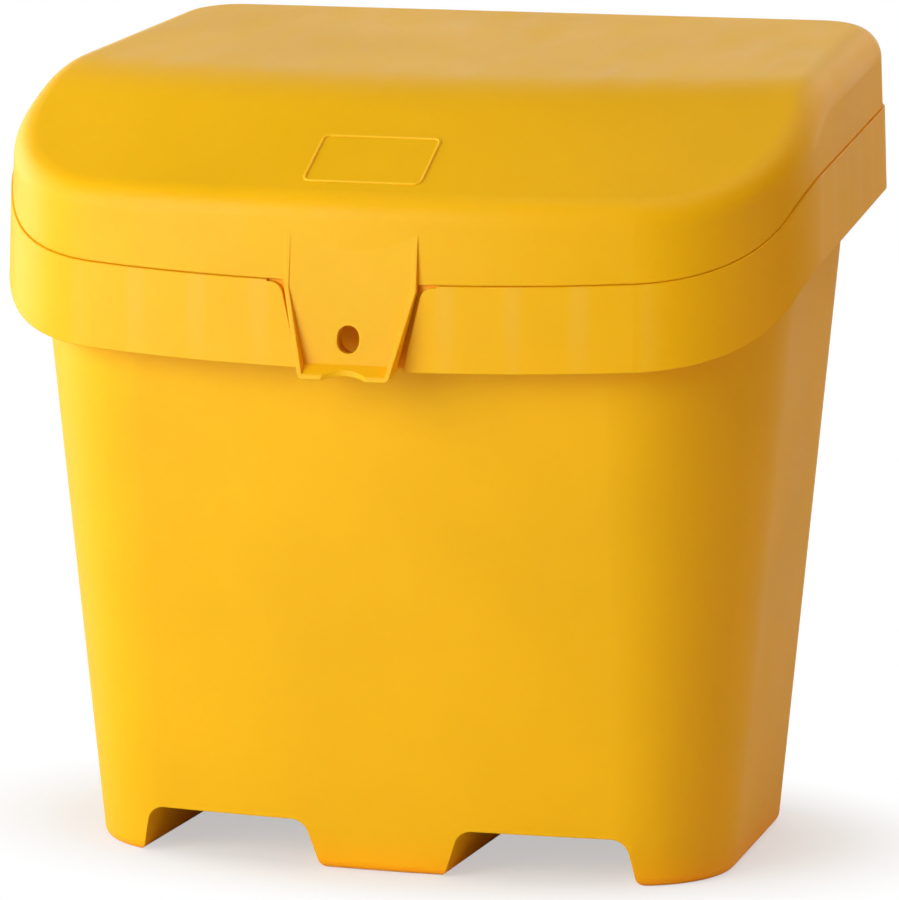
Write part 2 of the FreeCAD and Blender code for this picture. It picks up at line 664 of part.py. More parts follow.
def ears(doc, name):
    """The tub's two ears of one hinge: a barrel on a gusset, with room for the knuckle between them."""
    body = doc.addObject("PartDesign::Body", name)
    sketch = new_sketch(body, name + "Side", "YZ_Plane")
    radius, drop = SIZES["barrel_radius"], SIZES["ear_drop"]
    deep = SIZES["hinge_set_back"] + 5
    sketch.addGeometry([
        line(-deep, radius - 1, -0.5, radius),
        arc(0, 0, radius, -38, 95),
        line(radius * 0.78, -radius * 0.62, -deep, -drop),
        line(-deep, -drop, -deep, radius - 1),
    ])
    rule(sketch, "Tangent", 0, END, 1, END)
    rule(sketch, "Tangent", 1, START, 2, START)
    join(sketch, [(2, 3), (3, 0)])
    rule(sketch, "Coincident", 1, CENTRE, ORIGIN, START)
    rule(sketch, "Vertical", 3)
    bind(sketch, "Radius", (1,), radius, "sizes.barrel_radius")
    bind(sketch, "DistanceX", (3, START, ORIGIN, START), deep,
         "sizes.hinge_set_back + %s + sizes.collar_wall / 2" % COLLAR_REAR)
    bind(sketch, "DistanceY", (3, START, ORIGIN, START), drop, "sizes.ear_drop")
    bind(sketch, "DistanceY", (ORIGIN, START, 0, START), radius - 1,
         "sizes.hinge_drop - sizes.flange_wall / 2")
    pad_across(body, sketch, "sizes.hinge_width")
    gap = new_sketch(body, name + "Gap", "XY_Plane")
    half = SIZES["knuckle_width"] / 2 + SIZES["knuckle_gap"]
    polygon(gap, [(half, REACH), (half, -REACH), (-half, -REACH), (-half, REACH)])
    for side in (0, 2):
        rule(gap, "Vertical", side)
        rule(gap, "Horizontal", side + 1)
    rule(gap, "Symmetric", 0, START, 1, END, ORIGIN, START)
    bind(gap, "DistanceX", (2, START, 0, START), 2 * half, "sizes.knuckle_width + 2 * sizes.knuckle_gap")
    bind(gap, "DistanceY", (0, END, 0, START), 2 * REACH, "%g" % (2 * REACH))
    cut = body.newObject("PartDesign::Pocket", name + "Middle")
    cut.Profile = gap
    cut.SideType = "Symmetric"
    cut.setExpression("Length", "4 * sizes.ear_drop")
    at_hinge(body)
    doc.recompute()
    return body


def knuckle(doc, name):
    """The lid's knuckle of one hinge: a barrel, a web up the skirt and the lug that stops the lid."""
    body = doc.addObject("PartDesign::Body", name)
    web = new_sketch(body, name + "Web", "YZ_Plane")
    radius, rise = SIZES["barrel_radius"], SIZES["knuckle_rise"]
    under, deep = SIZES["hinge_drop"] + 0.8, SIZES["hinge_set_back"] + 9
    top = under + rise
    meet = math.atan2(top, -deep) - math.acos(radius / math.hypot(deep, top))
    web.addGeometry([
        arc(0, 0, radius, 180, 360 + math.degrees(meet)),
        line(-radius, 0, -radius, under),
        line(-radius, under, -deep, under),
        line(-deep, under, -deep, top),
        line(-deep, top, radius * math.cos(meet), radius * math.sin(meet)),
    ])
    rule(web, "Tangent", 0, START, 1, START)
    join(web, [(1, 2), (2, 3), (3, 4)])
    rule(web, "Tangent", 4, END, 0, END)
    rule(web, "Coincident", 0, CENTRE, ORIGIN, START)
    rule(web, "Vertical", 1)
    rule(web, "Horizontal", 2)
    rule(web, "Vertical", 3)
    bind(web, "Radius", (0,), radius, "sizes.barrel_radius")
    bind(web, "DistanceY", (ORIGIN, START, 1, END), under, "sizes.hinge_drop + 2 * sizes.lid_gap")
    bind(web, "DistanceX", (2, END, ORIGIN, START), deep,
         "sizes.hinge_set_back + %s + sizes.lid_wall" % LID_REAR)
    bind(web, "DistanceY", (3, START, 3, END), rise, "sizes.knuckle_rise")
    pad_across(body, web, "sizes.knuckle_width")
    lug = new_sketch(body, name + "Lug", "YZ_Plane")
    # closed, the lug points down; at full opening its end lies flat against the collar
    lean = math.radians(SIZES["lid_opening"] + SIZES["collar_draft"])
    reach, width = 9.5, SIZES["stop_width"]
    tip = (-reach * math.cos(lean), -reach * math.sin(lean))
    side = (width * math.sin(lean), -width * math.cos(lean))
    polygon(lug, [tip, (0, 0), side, (tip[0] + side[0], tip[1] + side[1])])
    rule(lug, "Coincident", 0, END, ORIGIN, START)
    rule(lug, "Perpendicular", 0, 1)
    rule(lug, "Perpendicular", 1, 2)
    rule(lug, "Perpendicular", 2, 3)
    bind(lug, "Angle", (0,), lean, "sizes.lid_opening + sizes.collar_draft")
    bind(lug, "Distance", (0,), reach,
         "(sizes.hinge_set_back + %s - sizes.hinge_drop * tan(sizes.collar_draft * 1 deg))"
         " * cos(sizes.collar_draft * 1 deg) - sizes.stop_gap" % COLLAR_REAR)
    bind(lug, "Distance", (1,), width, "sizes.stop_width")
    pad_across(body, lug, "sizes.knuckle_width")
    at_hinge(body)
    doc.recompute()
    return body


def pin(doc, name):
    """A headed pin pushed in from the outer side."""
    body = doc.addObject("PartDesign::Body", name)
    sketch = new_sketch(body, name + "Half", "XZ_Plane")
    half = SIZES["hinge_width"] / 2
    nose, head = -half - SIZES["pin_nose"], half + SIZES["head_length"]
    radius, chamfer, wide = SIZES["pin_radius"], SIZES["pin_chamfer"], SIZES["head_radius"]
    corners = [
        (nose, 0), (nose, radius - chamfer), (nose + chamfer, radius), (half, radius),
        (half, wide), (head, wide), (head, 0),
    ]
    polygon(sketch, corners)
    for index, kind in enumerate(("Vertical", None, "Horizontal", "Vertical", "Horizontal", "Vertical")):
        if kind:
            rule(sketch, kind, index)
    rule(sketch, "PointOnObject", 0, START, -1)
    rule(sketch, "PointOnObject", 5, END, -1)
    bind(sketch, "DistanceX", (0, START, ORIGIN, START), -nose, "sizes.hinge_width / 2 + sizes.pin_nose")
    bind(sketch, "DistanceX", (1, START, 1, END), chamfer, "sizes.pin_chamfer")
    bind(sketch, "DistanceY", (1, START, 1, END), chamfer, "sizes.pin_chamfer")
    bind(sketch, "DistanceY", (ORIGIN, START, 2, START), radius, "sizes.pin_radius")
    bind(sketch, "DistanceX", (ORIGIN, START, 2, END), half, "sizes.hinge_width / 2")
    bind(sketch, "DistanceY", (ORIGIN, START, 3, END), wide, "sizes.head_radius")
    bind(sketch, "DistanceX", (4, START, 4, END), SIZES["head_length"], "sizes.head_length")
    turn = body.newObject("PartDesign::Revolution", name + "Turn")
    turn.Profile = sketch
    turn.ReferenceAxis = (sketch, ["H_Axis"])
    turn.Angle = 360
    at_hinge(body)
    doc.recompute()
    return body


def make_collar(doc, rim_top, hinge_ears):
    """Collar, flange and the pocket's walls: a solid band less all that is hollow behind it."""
    rim_foot = below_rim(doc, "RimFoot", "(-sizes.collar_height)")
    block = boolean(doc, "MultiCommon", "CollarUnderRim", collar_block(doc, "CollarBlock", "0"), rim_top)
    band = boolean(doc, "Cut", "Band", block, rim_foot)
    with_ears = boolean(doc, "MultiFuse", "BandWithEars", band, *hinge_ears)
    under_flange = below_rim(doc, "RimUnderFlange", "(-sizes.flange_wall)")
    core = collar_block(doc, "CollarCore", "sizes.collar_wall")
    hollow = boolean(doc, "MultiCommon", "BandHollow", core, under_flange)
    grown = front_prism(doc, "PocketGrown", pocket_outline("sizes.collar_wall"))
    round_edges(doc, grown, in_pocket_corner, "sizes.pocket_round - sizes.collar_wall")
    front = front_slab(doc, "PocketGrownDepth", "sizes.pocket_depth + sizes.collar_wall")
    walls = boolean(doc, "MultiCommon", "PocketWalls", grown, front)
    hollow = boolean(doc, "Cut", "BandHollowBesidePocket", hollow, walls)
    return boolean(doc, "Cut", "Collar", with_ears, hollow)


def in_pocket_corner(edge):
    """The edge where the pocket's side turns out under the rim."""
    box = edge.BoundBox
    along = box.YLength > 1 and box.XLength < 0.01 and box.ZLength < 0.01
    inner = SIZES["flap_half"] + SIZES["pocket_gap"] + SIZES["collar_wall"] + SIZES["pocket_round"] / 2
    return along and abs(box.ZMax - SIZES["rim_front"]) < 5 and abs(box.XMax) < inner


def make_tub(doc):
    rim_top = below_rim(doc, "RimTop", "0")
    rear_rim_mark(doc, doc.RimTopSide)
    right_ears = ears(doc, "Ears")
    hinge_ears = [right_ears, mirrored(doc, "EarsLeft", right_ears)]
    collar = make_collar(doc, rim_top, hinge_ears)
    rim_lip = below_rim(doc, "RimLip", "sizes.lip_height")
    lip_block = boolean(doc, "MultiCommon", "LipUnderRim", lid_block(doc, "LipOuter", LIP_OUT), rim_lip)
    lip = boolean(doc, "Cut", "LipRing", lip_block, lid_block(doc, "LipInner", LIP_IN))
    lip = boolean(doc, "Cut", "Lip", lip, doc.RimUnderFlange)
    outer = tub_solid(doc, "BodyOuter", "0", round_edges, "sizes.foot_round")
    outer = boolean(doc, "MultiCommon", "BodyUnderRim", outer, rim_top)
    solid = boolean(doc, "MultiFuse", "TubSolid", outer, collar, lip)
    inner = tub_solid(doc, "BodyInner", "sizes.body_wall", bevel_edges, "sizes.foot_round - sizes.body_wall")
    tub = boolean(doc, "Cut", "TubOpen", solid, inner)
    pocket = front_prism(doc, "PocketFace", pocket_outline("0"))
    round_edges(doc, pocket, in_pocket_corner, "sizes.pocket_round")
    depth = front_slab(doc, "PocketDepth", "sizes.pocket_depth")
    pocket = boolean(doc, "MultiCommon", "Pocket", pocket, depth)
    tub = boolean(doc, "Cut", "TubWithPocket", tub, pocket)
    hole = slot_prism(doc, "TabSlotPrism", "sizes.tab_slot_spare")
    slot_depth = front_slab(doc, "TabSlotDepth", "sizes.pocket_depth + 2 * sizes.collar_wall")
    hole = boolean(doc, "MultiCommon", "TabSlot", hole, slot_depth)
    tub = boolean(doc, "Cut", "TubWithSlot", tub, hole)
    bore = hinge_bore(doc, "TubBore", "sizes.pin_hold")
    bores = boolean(doc, "MultiFuse", "TubBores", bore, mirrored(doc, "TubBoreLeft", bore))
    return boolean(doc, "Cut", "Tub", tub, bores)


def make_flap(doc):
    """The padlock flap: a panel between two ribs that grow out of the skirt, over a sloped lip."""
    top, bend, tip = from_rim("flap_rise", 1), from_rim("flap_bend_drop", -1), from_rim("flap_drop", -1)
    floor_height, floor_formula = from_rim("flap_floor_drop", -1)
    floor = (floor_height, floor_formula)
    wall, stand, panel = SIZES["flap_wall"], SIZES["flap_stand"], SIZES["flap_panel_stand"]
    # the flap's face meets the skirt here: as deep as the skirt is at the ribs, where it bows back most
    root = SIZES["collar_height"] * slope_of(SIZES["collar_draft"]) + SIZES["lid_step"]
    root += SIZES["flap_rise"] * slope_of(SIZES["lid_draft"])
    root_formula = ("%s + sizes.flap_rise * tan(sizes.lid_draft * 1 deg)"
                    " + sizes.flap_half ^ 2 / (2 * sizes.collar_bow)" % LID_FOOT)
    face = front_prism(doc, "FlapFace", flap_outline("0"))
    round_edges(doc, face, lambda edge: edge.BoundBox.YLength > 1 and edge.BoundBox.ZMax < tip[0] + 1,
                "sizes.flap_round")
    form = side_prism(doc, "FlapForm", [
        (root, root_formula, top),
        (SIZES["flap_bend_depth"], "sizes.flap_bend_depth", bend),
        (-stand, "-sizes.flap_stand", tip),
        (wall - panel, "sizes.flap_wall - sizes.flap_panel_stand",
         (floor_height - wall, floor_formula + " - sizes.flap_wall")),
        (root + wall, root_formula + " + sizes.flap_wall", top),
    ])
    flap = boolean(doc, "MultiCommon", "FlapBlock", face, form)
    inner = front_prism(doc, "FlapInnerFace", flap_outline("sizes.flap_rib"))
    # the lip's floor runs from the panel's foot through a point flap_lip above the tip, and as far again
    lip = SIZES["flap_lip"]
    ahead, ahead_formula = panel - 2 * stand, "sizes.flap_panel_stand - 2 * sizes.flap_stand"
    below = (2 * (tip[0] + lip) - floor_height, "2 * (%s + sizes.flap_lip) - (%s)" % (tip[1], floor_formula))
    inner_form = side_prism(doc, "FlapInnerForm", [
        (root, root_formula, top),
        (-panel, "-sizes.flap_panel_stand", floor),
        (ahead, ahead_formula, below),
        (ahead, ahead_formula, top),
    ])
    recess = boolean(doc, "MultiCommon", "FlapRecess", inner, inner_form)
    scoop = doc.addObject("Part::Cylinder", "Scoop")
    scoop.setExpression("Radius", "sizes.scoop_radius")
    scoop.setExpression("Height", "sizes.flap_drop - sizes.flap_floor_drop + 2 * sizes.flap_lip")
    scoop.setExpression("Placement.Base.y", "-sizes.collar_front - sizes.flap_stand + sizes.scoop_depth"
                        " - sizes.scoop_radius")
    scoop.setExpression("Placement.Base.z", tip[1] + " - sizes.flap_lip")
    doc.recompute()
    flap = boolean(doc, "Cut", "FlapHollowed", flap, recess)
    return boolean(doc, "Cut", "Flap", flap, scoop)


def make_lid(doc):
    outer = lid_solid(doc, "LidOuter", LID_FOOT, "0", round_edges, "sizes.lid_round")
    inner = lid_solid(doc, "LidInner", LID_CORE, "sizes.lid_wall", bevel_edges,
                      "sizes.lid_round - sizes.lid_wall")
    shell = boolean(doc, "Cut", "LidShell", outer, inner)
    shell = boolean(doc, "Cut", "LidOverRim", shell, below_rim(doc, "RimLid", "sizes.lid_gap"))
    right = knuckle(doc, "Knuckle")
    right = boolean(doc, "Cut", "KnuckleOutside", right, inner)
    left = mirrored(doc, "KnuckleLeft", right)
    lid = boolean(doc, "MultiFuse", "LidSolid", shell, make_flap(doc), right, left)
    lid = boolean(doc, "Cut", "LidWithSlot", lid, slot_prism(doc, "FlapSlot", "0"))
    bore = hinge_bore(doc, "LidBore", "sizes.pin_play")
    bores = boolean(doc, "MultiFuse", "LidBores", bore, mirrored(doc, "LidBoreLeft", bore))
    return boolean(doc, "Cut", "Lid", lid, bores)


def make_pins(doc):
    right = pin(doc, "Pin")
    pins = doc.addObject("Part::Compound", "Pins")
    pins.Links = [right, mirrored(doc, "PinLeft", right)]
    doc.recompute()
    return pins


def check(doc, nodes):
    for item in doc.Objects:
        if "Invalid" in item.State or "Error" in item.State:
            raise RuntimeError("failed: %s" % item.Name)
    for node, count in nodes.items():
        if node.Shape.isNull() or not node.Shape.isValid() or len(node.Shape.Solids) != count:
            raise RuntimeError("not a sound solid: %s %d" % (node.Label, len(node.Shape.Solids)))


def main():
    doc = FreeCAD.newDocument("grit_bin")
    fill_sheet(doc)
    nodes = {make_tub(doc): 1, make_lid(doc): 1, make_pins(doc): 2}
    os.makedirs("parts", exist_ok=True)
    for node, label in zip(nodes, ("tub", "lid", "hinge_pins")):
        node.Label = label
    doc.recompute()
    check(doc, nodes)
    for node in nodes:
        node.Shape.exportStep("parts/%s.step" % node.Label)
    return doc


main()
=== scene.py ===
"""Looks for the grit salt bin: moulded yellow plastic, a bare plate on the lid, studio light, camera."""

import math

import bmesh
import bpy
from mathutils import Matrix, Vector
from mathutils.bvhtree import BVHTree


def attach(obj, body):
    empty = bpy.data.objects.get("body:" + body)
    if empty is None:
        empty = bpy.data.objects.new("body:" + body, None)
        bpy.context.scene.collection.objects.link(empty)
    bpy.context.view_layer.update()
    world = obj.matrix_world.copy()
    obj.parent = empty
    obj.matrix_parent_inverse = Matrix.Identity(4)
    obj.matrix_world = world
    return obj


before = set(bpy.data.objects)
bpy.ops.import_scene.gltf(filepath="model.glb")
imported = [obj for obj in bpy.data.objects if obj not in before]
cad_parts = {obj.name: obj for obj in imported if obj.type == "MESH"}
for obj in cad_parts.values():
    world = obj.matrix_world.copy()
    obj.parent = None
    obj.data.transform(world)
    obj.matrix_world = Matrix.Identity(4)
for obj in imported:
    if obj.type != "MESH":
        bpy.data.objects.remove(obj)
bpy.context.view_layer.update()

MM = 0.001
WHITE = (1.0, 1.0, 1.0)

# the photograph's frame, in pixels, and the camera that took it: angles in radians, lengths in metres
PHOTO_WIDTH, PHOTO_HEIGHT = 899, 900
FOCAL_PX = 5999.7
PRINCIPAL_PX = (431.484, 495.150)
CAMERA_AZIMUTH = 0.3210
CAMERA_ELEVATION = 0.17061
CAMERA_ROLL = -0.0015
CAMERA_DISTANCE = 3.23797
CAMERA_TARGET = Vector((0.0, -0.0331, 0.190))
CAMERA_REACH = 50.0
SENSOR_WIDTH = 36.0

# the bare plate on the lid's slope: its raised outline, and how far behind the collar's front it starts
COLLAR_FRONT = -166.6 * MM
PLATE_WIDTH = 64.0 * MM
PLATE_DEPTH = 35.2 * MM
PLATE_BEHIND = 19.3 * MM
PLATE_CORNER = 3.4 * MM
CORNER_STEPS = 6
LINE_WIDTH = 1.5 * MM
LINE_HEIGHT = 0.9 * MM
# a height over the whole lid, from which the line's points are dropped onto it
DROP_HEIGHT = 1.0
# the line's cross-section: across in line widths, outwards, and up in line heights; its foot is in the lid
LINE_SECTION = ((-0.5, -0.3), (-0.5, 0.35), (-0.28, 0.85), (0.0, 1.0), (0.28, 0.85), (0.5, 0.35), (0.5, -0.3))

# the collar's faint upright bands: the first one's distance from the middle, and how far they wander,
# in radians of their wave
BAND_SPACING = 36.0 * MM
BAND_FIRST = 50.0 * MM
BAND_WANDER = 1.2
BAND_WANDER_SCALE = 16.0
BAND_WANDER_DETAIL = 1.0
BAND_PHASE = math.pi / 2 - 2 * math.pi * BAND_FIRST / BAND_SPACING - BAND_WANDER / 2
# a band shows where its wave is over this value
BAND_NARROWING = 0.3
# how much painted sheen they take, as a paler tint, and that sheen's green, as a factor, and its added blue
BAND_PAINTED_SHEEN = 0.32
PAINTED_SHEEN_GREEN = 1.07
PAINTED_SHEEN_BLUE = 0.05
# where they start to show and show in full: towards the collar's front, towards its sides, and upwards
FRONT_FADE = (-148.0 * MM, -154.0 * MM)
SIDE_FADE = (212.0 * MM, 215.5 * MM)
HEIGHT_FADE = (276.0 * MM, 305.0 * MM)
# how far the sides draw in for each metre to the rear, and how much shows at the lower end
SIDE_LEAN = 0.0664
LOW_STRENGTH = 0.3

# the plastic's colours, as linear red, green and blue
YELLOW = (0.79, 0.442, 0.001)
# the plate's line is paler than the lid: a painted highlight along it
PAINTED_HIGHLIGHT_YELLOW = (0.88, 0.50, 0.01)
BLACK = (0.03, 0.03, 0.03)

# slow clouds in the colour: the noise values where they are darkest and lightest, and both as factors on it
CLOUD_SCALE = 9.0
CLOUD_DETAIL = 2.0
CLOUD_RANGE = (0.35, 0.65)
CLOUD_DARK = 0.965
CLOUD_LIGHT = 1.02

# painted bounce light, hollows painted warmer: how far off a wall counts, the open share of the view where
# that starts and is full, and the factors on red and green
HOLLOW_REACH = 26 * MM
HOLLOW_OPEN = (0.9, 0.3)
HOLLOW_SAMPLES = 6
PAINTED_BOUNCE_RED = 1.2
PAINTED_BOUNCE_GREEN = 0.9

# patches in the gloss, longer from front to back and in height than across; the noise values of the
# glossiest and dullest, and how far they go from the plastic's own roughness
PATCH_SCALE = 55.0
PATCH_DETAIL = 3.0
PATCH_STRETCH = (1.0, 0.3, 0.3)
PATCH_RANGE = (0.25, 0.75)
PATCH_ROUGHNESS = 0.05

# the relief: noise scale, noise detail, strength and depth of the slow waves and of the mould's grain,
# the bands' strength and depth, and the soft edges
WAVES = (14.0, 1.0, 0.18, 0.6 * MM)
GRAIN = (1400.0, 2.0, 0.10, 0.15 * MM)
BAND_SINK = (0.6, 0.12 * MM)
EDGE_RADIUS = 0.9 * MM
EDGE_SAMPLES = 4

# satin plastic that light soaks into a little: roughness of the mouldings, the plate's line and the pins
MOULDED_ROUGHNESS = 0.44
LINE_ROUGHNESS = 0.40
PIN_ROUGHNESS = 0.35
SOAK = 0.3
SOAK_RADIUS = (1.0, 0.45, 0.05)
SOAK_SCALE = 0.004
MIRROR_LEVEL = 0.18

# the floor: its grey, the half axes of the oval round the bin's foot, and, in sizes of that oval, where the
# floor starts to fade to white and is white; near the bin some white is mixed in already
FLOOR_RADIUS = 6.0
FLOOR_SIDES = 64
FLOOR_GREY = 0.80
OVAL_HALVES = (0.178, 0.118, 1.0)
WHITE_FADE = (0.9, 1.75)
WHITE_NEAR = 0.5

# the room's own dim light, and the white backdrop that glossy faces mirror: the parts of a direction, to
# the rear, aside and upwards, between which it comes or goes, and its strength
ROOM_COLOUR = (1.0, 0.78, 0.62)
ROOM_STRENGTH = 0.22
BACKDROP_BEHIND = (0.2, 0.7)
BACKDROP_BEHIND_STRENGTH = 1.2
BACKDROP_LEFT = (-0.3, -0.8)
BACKDROP_LEFT_STRENGTH = 1.8
BACKDROP_TOP = (0.35, 0.75)

# softboxes: azimuth and elevation in degrees, distance and size in metres, power in watts, colour
LAMP_AIM = Vector((0.0, 0.0, 0.22))
LAMPS = (
    ("key", -35, 14, 2.4, 1.8, 56.5, (1.0, 1.0, 0.97)),
    ("fill", 82, 2, 2.6, 1.4, 16.5, (1.0, 0.50, 0.28)),
    ("top", 60, 80, 2.2, 1.6, 13, (1.0, 0.98, 0.9)),
    ("side", -97, 10, 1.9, 1.4, 18, WHITE),
    ("back", 154, 42, 2.8, 1.6, 15, (1.0, 0.86, 0.68)),
)


def node_material(name):
    material = bpy.data.materials.new(name)
    material.use_nodes = True
    material.node_tree.nodes.clear()
    return material, material.node_tree.nodes, material.node_tree.links


def add(nodes, kind, **values):
    node = nodes.new(kind)
    for key, value in values.items():
        setattr(node, key, value)
    return node


def math_node(nodes, links, operation, *values):
    node = add(nodes, "ShaderNodeMath", operation=operation)
    for socket, value in zip(node.inputs, values):
        if isinstance(value, (int, float)):
            socket.default_value = value
        else:
            links.new(value, socket)
    return node.outputs[0]


def remap(nodes, links, value, low, high, to_low=0.0, to_high=1.0, smooth=False):
    node = add(nodes, "ShaderNodeMapRange")
    if smooth:
        node.interpolation_type = "SMOOTHSTEP"
    links.new(value, node.inputs["Value"])
    for key, number in (("From Min", low), ("From Max", high), ("To Min", to_low), ("To Max", to_high)):
        node.inputs[key].default_value = number
    return node.outputs[0]


def vector_node(nodes, links, operation, vector, by=None):
    node = add(nodes, "ShaderNodeVectorMath", operation=operation)
    links.new(vector, node.inputs[0])
    if by is not None:
        node.inputs[1].default_value = by
    return node


def noise(nodes, links, vector, scale, detail):
    texture = add(nodes, "ShaderNodeTexNoise")
    texture.inputs["Scale"].default_value = scale
    texture.inputs["Detail"].default_value = detail
    links.new(vector, texture.inputs["Vector"])
    return texture.outputs["Fac"]


def bump(nodes, links, height, strength, distance, normal):
    node = add(nodes, "ShaderNodeBump")
    node.inputs["Strength"].default_value = strength
    node.inputs["Distance"].default_value = distance
    links.new(height, node.inputs["Height"])
    links.new(normal, node.inputs["Normal"])
    return node.outputs[0]


def noise_bump(nodes, links, place, ripples, normal):
    """Add one of the reliefs, given as noise scale, noise detail, strength and depth."""
    scale, detail, strength, depth = ripples
    return bump(nodes, links, noise(nodes, links, place, scale, detail), strength, depth, normal)


def blend(nodes, links, factor, first, second):
    """Mix two colours, each of them a socket or three numbers."""
    node = add(nodes, "ShaderNodeMix", data_type="RGBA")
    links.new(factor, node.inputs["Factor"])
    for socket, colour in ((node.inputs[6], first), (node.inputs[7], second)):
        if isinstance(colour, tuple):
            socket.default_value = (*colour, 1.0)
        else:
            links.new(colour, socket)
    return node.outputs[2]


def sink_marks(nodes, links, place):
    """Faint upright bands on the collar, where a moulding sinks over the ribs behind its face; also painted
    sheen.
    """
    split = add(nodes, "ShaderNodeSeparateXYZ")
    links.new(place, split.inputs[0])
    x, y, z = split.outputs
    aside = math_node(nodes, links, "ABSOLUTE", x)
    over = math_node(nodes, links, "MULTIPLY_ADD", y, SIDE_LEAN, aside)
    on_side = remap(nodes, links, over, *SIDE_FADE, smooth=True)
    on_front = remap(nodes, links, y, *FRONT_FADE, smooth=True)
    wander = noise(nodes, links, place, BAND_WANDER_SCALE, BAND_WANDER_DETAIL)
    bands = []
    for along, where in ((aside, on_front), (y, on_side)):
        phase = math_node(nodes, links, "MULTIPLY_ADD", along, 2 * math.pi / BAND_SPACING, BAND_PHASE)
        phase = math_node(nodes, links, "MULTIPLY_ADD", wander, BAND_WANDER, phase)
        wave = remap(nodes, links, math_node(nodes, links, "SINE", phase), BAND_NARROWING, 1.0, smooth=True)
        bands.append(math_node(nodes, links, "MULTIPLY", wave, where))
    upper = remap(nodes, links, z, *HEIGHT_FADE, LOW_STRENGTH, 1.0)
    return math_node(nodes, links, "MULTIPLY", math_node(nodes, links, "ADD", *bands), upper)


def clouded(nodes, links, place, colour):
    """The colour with slow clouds, as where the plastic flowed into the mould."""
    shade = remap(nodes, links, noise(nodes, links, place, CLOUD_SCALE, CLOUD_DETAIL), *CLOUD_RANGE)
    dark = tuple(c * CLOUD_DARK for c in colour)
    light = tuple(min(1.0, c * CLOUD_LIGHT) for c in colour)
    return blend(nodes, links, shade, dark, light)


def painted_bounce_warmth(nodes, links, surface, colour):
    """Painted bounce light: warmer hollows, as if light went from yellow wall to yellow wall."""
    hollow = add(nodes, "ShaderNodeAmbientOcclusion", samples=HOLLOW_SAMPLES)
    hollow.inputs["Distance"].default_value = HOLLOW_REACH
    painted_bounce_mask = remap(nodes, links, hollow.outputs["AO"], *HOLLOW_OPEN)
    painted_bounce_colour = (min(1.0, colour[0] * PAINTED_BOUNCE_RED), colour[1] * PAINTED_BOUNCE_GREEN, colour[2])
    return blend(nodes, links, painted_bounce_mask, surface, painted_bounce_colour)


def relief(nodes, links, place, marks):
    """Softened edges, slow waves, the bands' sinks where there are any, and the mould's fine grain."""
    soft_edge = add(nodes, "ShaderNodeBevel", samples=EDGE_SAMPLES)
    soft_edge.inputs["Radius"].default_value = EDGE_RADIUS
    normal = noise_bump(nodes, links, place, WAVES, soft_edge.outputs[0])
    if marks is not None:
        normal = bump(nodes, links, marks, *BAND_SINK, normal)
    return noise_bump(nodes, links, place, GRAIN, normal)


def moulded_plastic(name, colour, roughness, soak, ribbed=False):
    """Satin moulded plastic; soak is how much light goes into it, and ribbed gives it the collar's sunk bands
    with their painted sheen.
    """
    material, nodes, links = node_material(name)
    output = add(nodes, "ShaderNodeOutputMaterial")
    shader = add(nodes, "ShaderNodeBsdfPrincipled")
    links.new(shader.outputs[0], output.inputs["Surface"])
    place = add(nodes, "ShaderNodeTexCoord").outputs["Object"]

    surface = clouded(nodes, links, place, colour)
    marks = None
    if ribbed:
        marks = sink_marks(nodes, links, place)
        # painted sheen: the bands are drawn paler and bluer in the colour, as if they caught the light
        painted_sheen_colour = (colour[0], colour[1] * PAINTED_SHEEN_GREEN, colour[2] + PAINTED_SHEEN_BLUE)
        surface = blend(nodes, links, math_node(nodes, links, "MULTIPLY", marks, BAND_PAINTED_SHEEN), surface, painted_sheen_colour)
    # the colour gets painted bounce light: warmer in the hollows
    links.new(painted_bounce_warmth(nodes, links, surface, colour), shader.inputs["Base Color"])

    flow = vector_node(nodes, links, "MULTIPLY", place, PATCH_STRETCH).outputs[0]
    patches = noise(nodes, links, flow, PATCH_SCALE, PATCH_DETAIL)
    glossiest, dullest = roughness - PATCH_ROUGHNESS, roughness + PATCH_ROUGHNESS
    links.new(remap(nodes, links, patches, *PATCH_RANGE, glossiest, dullest), shader.inputs["Roughness"])
    links.new(relief(nodes, links, place, marks), shader.inputs["Normal"])

    shader.inputs["Subsurface Weight"].default_value = soak
    shader.inputs["Subsurface Radius"].default_value = SOAK_RADIUS
    shader.inputs["Subsurface Scale"].default_value = SOAK_SCALE
    shader.inputs["Specular IOR Level"].default_value = MIRROR_LEVEL
    return material


def dress(node, material):
    """Give every slot of a CAD node the material."""
    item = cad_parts[node]
    if not item.material_slots:
        item.data.materials.append(material)
    for slot in item.material_slots:
        slot.material = material


def new_object(name, data):
    item = bpy.data.objects.new(name, data)
    bpy.context.collection.objects.link(item)
    return item


def mesh_object(name, mesh, material):
    """Turn a bmesh into an object with one material."""
    data = bpy.data.meshes.new(name)
    mesh.to_mesh(data)
    mesh.free()
    data.materials.append(material)
    return new_object(name, data)


def plate_outline():
    """The rounded outline in plan: at each point the centre of its corner, and the angle outwards."""
    half = PLATE_WIDTH / 2
    near = COLLAR_FRONT + PLATE_BEHIND
    far = near + PLATE_DEPTH
    outline = []
    for x, y, start in ((half, near, -90), (half, far, 0), (-half, far, 90), (-half, near, 180)):
        centre_x = x - math.copysign(PLATE_CORNER, x)
        centre_y = y - PLATE_CORNER if y == far else y + PLATE_CORNER
        for step in range(CORNER_STEPS + 1):
            outline.append((centre_x, centre_y, math.radians(start + 90 * step / CORNER_STEPS)))
    return outline


